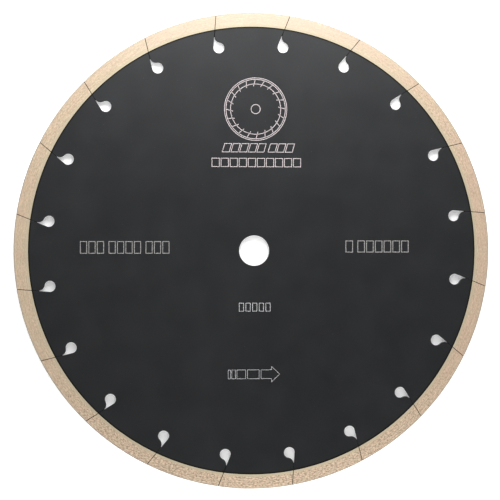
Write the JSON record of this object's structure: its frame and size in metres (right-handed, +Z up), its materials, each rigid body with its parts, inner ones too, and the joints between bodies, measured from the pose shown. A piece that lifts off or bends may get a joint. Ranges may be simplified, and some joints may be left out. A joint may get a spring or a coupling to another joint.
{
  "type": "diamond blade",
  "caption": "Thin slotted steel disc with an arbor bore, teardrop gullets and a sintered diamond rim, for wet or dry cutting of tile, stone and concrete.",
  "frame": {"origin": "centre of the arbor bore at half the blade's thickness", "axes": "+Y along the spin axis, from the marked face towards the back face; +Z up and +X to the right as the marked face is read"},
  "size_m": [0.25, 0.0022, 0.25],
  "materials": {
    "core_coating": "satin charcoal coating on a ground steel disc",
    "diamond_rim": "sintered bronze bond with diamond grit, ground on the sides",
    "rim_base": "sintered bronze without diamond, smooth"
  },
  "bodies": {
    "root": {"steel_core": "core_coating", "rim_segment_01": "diamond_rim", "rim_segment_02": "diamond_rim", "rim_segment_03": "diamond_rim", "rim_segment_04": "diamond_rim", "rim_segment_05": "diamond_rim", "rim_segment_06": "diamond_rim", "rim_segment_07": "diamond_rim", "rim_segment_08": "diamond_rim", "rim_segment_09": "diamond_rim", "rim_segment_10": "diamond_rim", "rim_segment_11": "diamond_rim", "rim_segment_12": "diamond_rim", "rim_segment_13": "diamond_rim", "rim_segment_14": "diamond_rim", "rim_segment_15": "diamond_rim", "rim_segment_16": "diamond_rim", "rim_segment_17": "diamond_rim", "rim_segment_18": "diamond_rim", "rim_segment_19": "diamond_rim", "rim_segment_20": "diamond_rim", "base_strip_01": "rim_base", "base_strip_02": "rim_base", "base_strip_03": "rim_base", "base_strip_04": "rim_base", "base_strip_05": "rim_base", "base_strip_06": "rim_base", "base_strip_07": "rim_base", "base_strip_08": "rim_base", "base_strip_09": "rim_base", "base_strip_10": "rim_base", "base_strip_11": "rim_base", "base_strip_12": "rim_base", "base_strip_13": "rim_base", "base_strip_14": "rim_base", "base_strip_15": "rim_base", "base_strip_16": "rim_base", "base_strip_17": "rim_base", "base_strip_18": "rim_base", "base_strip_19": "rim_base", "base_strip_20": "rim_base"}
  },
  "joints": []
}
